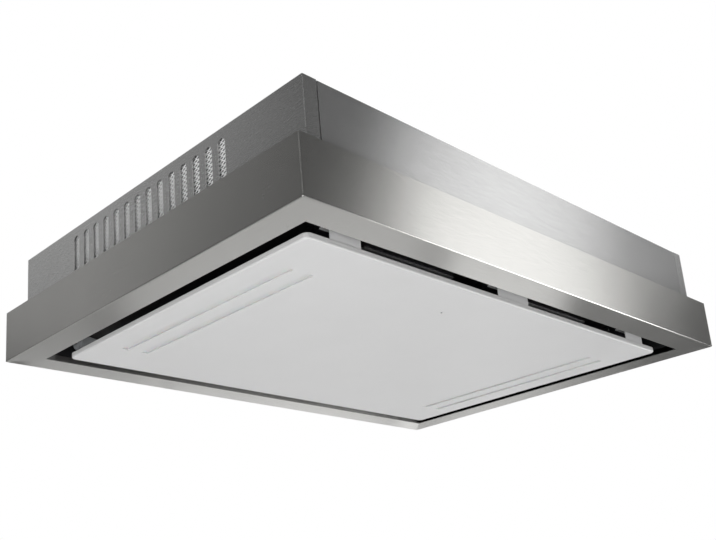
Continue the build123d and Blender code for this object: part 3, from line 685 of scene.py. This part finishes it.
def grid_faces(rows: int, columns: int) -> np.ndarray:
    """Faces of a grid of points.

    Args:
        rows: Points down the grid.
        columns: Points across the grid.

    Returns:
        An array of shape (number of faces, 4).
    """
    row, column = np.meshgrid(np.arange(rows - 1), np.arange(columns - 1), indexing="ij")
    corner = (row * columns + column).ravel()
    return np.stack([corner, corner + columns, corner + columns + 1, corner + 1], axis=1)


@dataclass
class ExpandedMetal:
    """Sheet that was slit and stretched into diamonds, in a plane with axes u (along) and v (across).

    Attributes:
        length: Length of the sheet along u.
        width: Width of the sheet along v.
        diamond_length: Length of one diamond along u.
        diamond_width: Width of one diamond along v.
        strand: Breadth of a strand.
        lift: How much higher one edge of a strand lies than the other.
        steps: Points along one diamond.
    """

    length: float
    width: float
    diamond_length: float
    diamond_width: float
    strand: float
    lift: float
    steps: int = 8

    def points(self) -> tuple[np.ndarray, np.ndarray]:
        """Strands of the sheet.

        The middle of strand r lies at v = (r + 1/2) h + (-1)^r (h - b) / 2 cos(2 pi u / L), where L is a
        diamond's length, h half its width and b the strand's breadth, so that neighbours touch at every
        half length. Across the strand, s from -1 to 1, the point moves by s times half the breadth along v
        and rises by s times half the lift.

        Returns:
            Points of shape (count, 3) as (u, v, height), centred on zero, and faces of shape (count, 4).
        """
        half = self.diamond_width / 2
        rows = int(self.width / half)
        count = int(self.length / self.diamond_length * self.steps) + 1
        edges = (-1.0, 1.0)
        row, u, s = np.meshgrid(np.arange(rows), np.linspace(0, self.length, count), edges, indexing="ij")
        swing = np.cos(2 * np.pi * u / self.diamond_length) * np.where(row % 2, -1.0, 1.0)
        v = (row + 0.5) * half + swing * (half - self.strand) / 2 + s * self.strand / 2
        points = np.stack([u - self.length / 2, v - rows * half / 2, s * self.lift / 2], axis=-1)
        faces = repeat_faces(grid_faces(count, len(edges)), rows, count * len(edges))
        return points.reshape(-1, 3), faces


@dataclass
class Part(ABC):
    """A sub-assembly: it gives its nodes their finishes and adds any pieces of its own.

    Attributes:
        nodes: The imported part's objects by name.
        finishes: The hood's finishes.
    """

    nodes: dict[str, bpy.types.Object]
    finishes: Finishes

    def dress(self, finish: Finish, names: Sequence[str]) -> None:
        """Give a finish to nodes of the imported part.

        Args:
            finish: The finish.
            names: The nodes' names.
        """
        material = made_once(finish)
        for name in names:
            slots = self.nodes[name].data.materials
            slots.clear()
            slots.append(material)
            LOG.info("finish %s on %s", finish.slot, name)

    def add(self, piece: bpy.types.Object, finish: Finish, body: str, replaced: str) -> None:
        """Give a new piece its finish and its body, and hide the node that it stands for.

        Args:
            piece: The new object.
            finish: Its finish.
            body: The body that it moves with.
            replaced: The node that it stands for.
        """
        piece.data.materials.append(made_once(finish))
        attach(piece, body)
        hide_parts(replaced)
        LOG.info("piece %s rides on %s", piece.name, body)

    @abstractmethod
    def build(self) -> None:
        """Add the part's own pieces and dress its nodes."""


@dataclass
class Shell(Part):
    """Canopy and box: brushed sides, each with its grain along its length."""

    def build(self) -> None:
        """Brush the long sides along X and the short sides along Y."""
        self.dress(self.finishes.canopy_x, ["canopy_front_rail", "canopy_back_rail"])
        self.dress(self.finishes.canopy_y, ["canopy_left_rail", "canopy_right_rail"])
        self.dress(self.finishes.box_x, ["box_front_panel", "box_back_panel"])
        self.dress(self.finishes.box_y, ["box_left_panel", "box_right_panel"])
        self.dress(self.finishes.galvanised, ["top_plate", "deck_plate", "corner_posts"])
        self.dress(self.finishes.zinc, ["deck_fasteners"])
        self.dress(self.finishes.rubber, ["mains_grommet"])


@dataclass
class VentCassettes(Part):
    """Filters behind the vent slots, with an expanded metal face towards the slots.

    Attributes:
        diamond_length: Length of one diamond.
        diamond_width: Width of one diamond.
        strand: Breadth of a strand.
        lift: How much higher one edge of a strand lies than the other.
    """

    diamond_length: float = 9.0 * MM
    diamond_width: float = 6.4 * MM
    strand: float = 1.5 * MM
    lift: float = 0.9 * MM

    def face(self, side: str) -> bpy.types.Object:
        """Expanded metal that stands upright in the place of one cassette's mesh.

        Args:
            side: "left" or "right".

        Returns:
            The piece, with u along Y, v along Z and its height along X.
        """
        low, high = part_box(f"{side}_vent_mesh")
        size = high - low
        sheet = ExpandedMetal(size.y, size.z, self.diamond_length, self.diamond_width, self.strand, self.lift)
        points, faces = sheet.points()
        middle = np.array((low + high) / 2)
        outward = -1.0 if side == "left" else 1.0
        placed = np.stack([points[:, 2] * outward, points[:, 0], points[:, 1]], axis=1) + middle
        return add_mesh(f"{side}_vent_face", placed, faces)

    def build(self) -> None:
        """Add both faces and dress the frames and pads."""
        for side in SIDES:
            self.add(self.face(side), self.finishes.mesh, "hood", f"{side}_vent_mesh")
        self.dress(self.finishes.black_plastic, ["left_vent_frame", "right_vent_frame"])
        self.dress(self.finishes.charcoal, ["left_charcoal_pad", "right_charcoal_pad"])


@dataclass
class SuctionPan(Part):
    """Black pan with the two grease filters, their latches and their layered mesh.

    Attributes:
        diamond_length: Length of one diamond.
        diamond_width: Width of one diamond.
        strand: Breadth of a strand.
        lift: How much higher one edge of a strand lies than the other.
        layers: Number of layers in a filter.
    """

    diamond_length: float = 12.0 * MM
    diamond_width: float = 6.0 * MM
    strand: float = 1.4 * MM
    lift: float = 1.2 * MM
    layers: int = 3

    def pad(self, side: str) -> bpy.types.Object:
        """Layers of expanded metal in one filter, every second one shifted along by a quarter diamond.

        Args:
            side: "left" or "right".

        Returns:
            The piece, with u along Y, v along X and its layers spread over the filter's thickness.
        """
        low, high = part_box(f"{side}_filter_mesh")
        size = high - low
        margin = self.diamond_length / 2
        sheet = ExpandedMetal(size.y - margin, size.x - margin, self.diamond_length, self.diamond_width,
                              self.strand, self.lift)
        points, faces = sheet.points()
        middle = np.array((low + high) / 2)
        layer = np.stack([points[:, 1], points[:, 0], points[:, 2]], axis=1)
        shifts = np.zeros((self.layers, 3))
        shifts[:, 1] = np.arange(self.layers) % 2 * margin / 2
        shifts[:, 2] = np.linspace(-1, 1, self.layers) * (size.z - self.lift) / 2
        placed = (layer[None] + shifts[:, None] + middle).reshape(-1, 3)
        return add_mesh(f"{side}_filter_layers", placed, repeat_faces(faces, self.layers, len(points)))

    def build(self) -> None:
        """Add the filters' layers and dress the pan."""
        for side in SIDES:
            self.add(self.pad(side), self.finishes.mesh, "hood", f"{side}_filter_mesh")
        walls = [f"pan_{side}_wall" for side in ("front", "back", "left", "right")]
        self.dress(self.finishes.black_paint, walls + ["pan_plate", "filter_seats"])
        self.dress(self.finishes.aluminium, ["left_filter_frame", "right_filter_frame"])
        self.dress(self.finishes.grey_plastic, ["left_filter_latch", "right_filter_latch"])
        self.dress(self.finishes.zinc, ["pan_fasteners"])
        self.dress(self.finishes.magnet, ["catch_magnets"])


@dataclass
class DropPanel(Part):
    """White panel with its lights, receiver, strikes and hinges."""

    def build(self) -> None:
        """Dress the panel's nodes."""
        self.dress(self.finishes.white_paint, ["panel_skin", "panel_strikes"])
        self.dress(self.finishes.white_plastic, ["panel_backing"])
        self.dress(self.finishes.aluminium, ["light_channels"])
        self.dress(self.finishes.diffuser, ["light_diffusers"])
        self.dress(self.finishes.lamp_board, ["light_boards"])
        self.dress(self.finishes.sensor, ["remote_sensor"])
        self.dress(self.finishes.zinc, ["panel_screws", "hinge_pins", "hinge_clips"])
        self.dress(self.finishes.grey_paint, ["hinge_arms", "hinge_lugs"])


@dataclass
class Blower(Part):
    """Scroll, wheel and motor."""

    def build(self) -> None:
        """Dress the blower's nodes."""
        self.dress(self.finishes.galvanised, ["blower_housing", "blower_cover", "inlet_cone"])
        self.dress(self.finishes.black_plastic, ["fan_wheel"])
        self.dress(self.finishes.zinc, ["motor_shaft", "wheel_nut", "finger_guard", "blower_fasteners"])
        self.dress(self.finishes.motor, ["motor"])


@dataclass
class Electrics(Part):
    """Control box, terminal box and the lights' supply."""

    def build(self) -> None:
        """Dress the boxes."""
        boxes = ["control_box", "control_box_lid", "terminal_box", "terminal_box_lid"]
        self.dress(self.finishes.black_plastic, boxes)
        self.dress(self.finishes.white_plastic, ["light_driver"])


@dataclass(frozen=True)
class Softbox:
    """Rectangular light on a cone round the hood's long axis, which is what brushed steel shows.

    Its middle lies at cos(tilt) along X and sin(tilt) across it, turned from +Y towards +Z.

    Attributes:
        name: The light's name.
        tilt: Angle from the long axis, in degrees.
        turn: Angle round the long axis, in degrees.
        distance: Distance from the hood's middle.
        width: Size in the direction of the tilt.
        height: Size in the direction of the turn.
        radiance: Brightness of its face.
    """

    name: str
    tilt: float
    turn: float
    distance: float
    width: float
    height: float
    radiance: float

    def axes(self) -> Matrix:
        """Directions of the light's width, height and back.

        Returns:
            A matrix with the three directions as its columns.
        """
        tilt, turn = np.radians(self.tilt), np.radians(self.turn)
        out = (np.cos(tilt), np.sin(tilt) * np.cos(turn), np.sin(tilt) * np.sin(turn))
        wide = (-np.sin(tilt), np.cos(tilt) * np.cos(turn), np.cos(tilt) * np.sin(turn))
        high = (0.0, -np.sin(turn), np.cos(turn))
        return Matrix((wide, high, out)).transposed()

    def light(self, middle: Vector) -> None:
        """Add the light, turned towards the hood's middle and hidden from the camera.

        Args:
            middle: The point that the light faces.
        """
        data = bpy.data.lights.new(self.name, "AREA")
        data.shape = "RECTANGLE"
        data.size = self.width
        data.size_y = self.height
        data.energy = self.radiance * self.width * self.height * np.pi
        axes = self.axes()
        lamp = bpy.data.objects.new(self.name, data)
        lamp.matrix_world = Matrix.Translation(middle + axes.col[2] * self.distance) @ axes.to_4x4()
        lamp.visible_camera = False
        bpy.context.scene.collection.objects.link(lamp)
        LOG.info("light %s", self.name)


@dataclass
class Studio:
    """Floor, backdrop and lights.

    Attributes:
        floor_level: Height of the floor.
        floor_reach: Radius of the floor.
        floor_curl: How far its edge rises.
        floor_spokes: Points round the floor.
        floor_rings: Points from its middle to its edge.
        floor_roughness: Its roughness.
        floor_colour: Its colour.
        floor_tones: Factors for the colour.
        floor_drift: Changes of tone per metre.
        paper: Brightness of plain white paper in the picture.
        paper_share: How far the floor is lifted towards it.
        backdrop: Brightness of the backdrop in the picture.
        fill: Brightness of the even light from all round.
        middle: Point that the lights face.
        lights: The lights.
    """

    floor_level: float = -1.5
    floor_reach: float = 9.0
    floor_curl: float = 0.25
    floor_spokes: int = 97
    floor_rings: int = 25
    floor_roughness: float = 0.6
    floor_colour: Colour = (0.8, 0.8, 0.8)
    floor_tones: Band = (0.975, 1.025)
    floor_drift: float = 2.0
    paper: float = 0.8
    paper_share: float = 0.8
    backdrop: float = 1.0
    fill: float = 0.1
    middle: tuple[float, float, float] = (0.0, 0.0, -0.13)
    # Name, tilt, turn, distance, width, height and radiance.
    lights: Sequence[Softbox] = (
        Softbox("front_strip", 42.2, 171.5, 3.4, 0.98, 3.94, 1.44),
        Softbox("end_strip", 29.6, 118.2, 3.4, 0.3, 8.11, 0.22),
        Softbox("back_right_box", 50.1, 3.5, 3.2, 1.24, 2.9, 0.97),
        Softbox("low_strip", 34.8, -32.7, 2.4, 0.48, 1.19, 0.86),
        Softbox("back_left_box", 111.3, 35.3, 3.2, 2.31, 1.85, 0.33),
        Softbox("back_box", 68.8, -2.2, 3.0, 0.61, 1.08, 2.27),
        Softbox("under_box", 75.0, -65.0, 0.9, 1.2, 1.0, 0.12),
        Softbox("over_box", 90.0, 90.0, 2.6, 2.4, 2.4, 1.4),
        Softbox("camera_box", 132.0, 219.0, 2.4, 1.2, 1.2, 5.5),
        Softbox("front_fold_box", 44.0, 225.0, 2.4, 1.2, 1.2, 5.0),
        Softbox("left_fold_box", 113.0, -32.0, 2.0, 1.0, 0.5, 0.5),
        Softbox("side_box", 158.5, 254.0, 2.4, 1.2, 1.2, 2.5),
    )

    def floor(self) -> None:
        """Pale floor: a round sheet whose edge curls up, height = level + curl (r / reach)^8."""
        turns = np.linspace(0, 2 * np.pi, self.floor_spokes)
        turn, out = np.meshgrid(turns, np.linspace(0, 1, self.floor_rings), indexing="ij")
        reach = self.floor_reach * out
        height = self.floor_level + self.floor_curl * out**8
        points = np.stack([reach * np.cos(turn), reach * np.sin(turn), height], axis=-1).reshape(-1, 3)
        piece = add_mesh("studio_floor", points, grid_faces(self.floor_spokes, self.floor_rings))
        shader = Shader("studio_floor")
        shader.set(Roughness=self.floor_roughness)
        shader.tint(shader.noise(self.floor_drift), self.floor_colour, self.floor_tones)
        self.brighten(shader)
        piece.data.materials.append(shader.material)

    def brighten(self, shader: Shader) -> None:
        """Lift the floor's own shade towards plain white paper, without lighting the hood from below.

        Args:
            shader: The floor's material under construction.
        """
        glow = shader.node("Emission")
        shader.feed(self.paper, glow.inputs["Strength"])
        seen = shader.node("LightPath").outputs["Is Camera Ray"]
        mixed = shader.node("MixShader")
        shader.feed(shader.math("MULTIPLY", seen, self.paper_share), mixed.inputs["Fac"])
        shader.feed(shader.surface.outputs["BSDF"], mixed.inputs[FIRST_SHADER])
        shader.feed(glow.outputs["Emission"], mixed.inputs[SECOND_SHADER])
        shader.feed(mixed.outputs["Shader"], shader.tree.nodes["Material Output"].inputs["Surface"])

    def world(self) -> None:
        """White backdrop for the camera and a dimmer even light for everything else."""
        world = bpy.data.worlds.new("studio")
        bpy.context.scene.world = world
        world.use_nodes = True
        tree = world.node_tree
        seen = tree.nodes["Background"]
        light = tree.nodes.new("ShaderNodeBackground")
        for node, strength in ((seen, self.backdrop), (light, self.fill)):
            node.inputs["Color"].default_value = WHITE
            node.inputs["Strength"].default_value = strength
        path = tree.nodes.new("ShaderNodeLightPath")
        mix = tree.nodes.new("ShaderNodeMixShader")
        tree.links.new(path.outputs["Is Camera Ray"], mix.inputs["Fac"])
        tree.links.new(light.outputs["Background"], mix.inputs[FIRST_SHADER])
        tree.links.new(seen.outputs["Background"], mix.inputs[SECOND_SHADER])
        tree.links.new(mix.outputs["Shader"], tree.nodes["World Output"].inputs["Surface"])

    def build(self) -> None:
        """Add everything round the hood."""
        self.floor()
        self.world()
        for softbox in self.lights:
            softbox.light(Vector(self.middle))


@dataclass(frozen=True)
class PhotoCamera:
    """Camera at the photograph's place.

    Attributes:
        place: Its place.
        right: Direction to the right in the picture, as a unit vector.
        down: Direction downwards in the picture, as a unit vector.
        ahead: Direction that it looks in, as a unit vector.
        focal: Focal length in millimetres.
        sensor: Width of its sensor in millimetres.
        shift: Shift of the lens to the right and upwards, as shares of the picture's width.
    """

    place: tuple[float, float, float] = (-1.1877, -1.0453, -0.6712)
    right: tuple[float, float, float] = (0.724475, -0.685683, -0.070227)
    down: tuple[float, float, float] = (0.142664, 0.248877, -0.957947)
    ahead: tuple[float, float, float] = (0.674311, 0.684015, 0.278081)
    focal: float = 49.182
    sensor: float = 36.0
    shift: tuple[float, float] = (0.05954, 0.15424)

    def build(self) -> None:
        """Add the camera and make it the scene's camera."""
        data = bpy.data.cameras.new("photo_camera")
        data.lens = self.focal
        data.sensor_width = self.sensor
        data.shift_x, data.shift_y = self.shift
        camera = bpy.data.objects.new("photo_camera", data)
        turned = Matrix((self.right, [-part for part in self.down], [-part for part in self.ahead]))
        camera.matrix_world = Matrix.Translation(self.place) @ turned.transposed().to_4x4()
        bpy.context.scene.collection.objects.link(camera)
        bpy.context.scene.camera = camera
        LOG.info("camera at %s", self.place)


def main() -> None:
    """Load the frame and build each sub-assembly, the studio and the camera."""
    logging.basicConfig(level=logging.INFO, format="%(message)s")
    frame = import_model()
    finishes = Finishes()
    for kind in (Shell, VentCassettes, SuctionPan, DropPanel, Blower, Electrics):
        kind(frame["nodes"], finishes).build()
        LOG.info("built %s", kind.__name__)
    Studio().build()
    PhotoCamera().build()
    bpy.context.scene.view_settings.view_transform = "Standard"


if __name__ == "__main__":
    main()
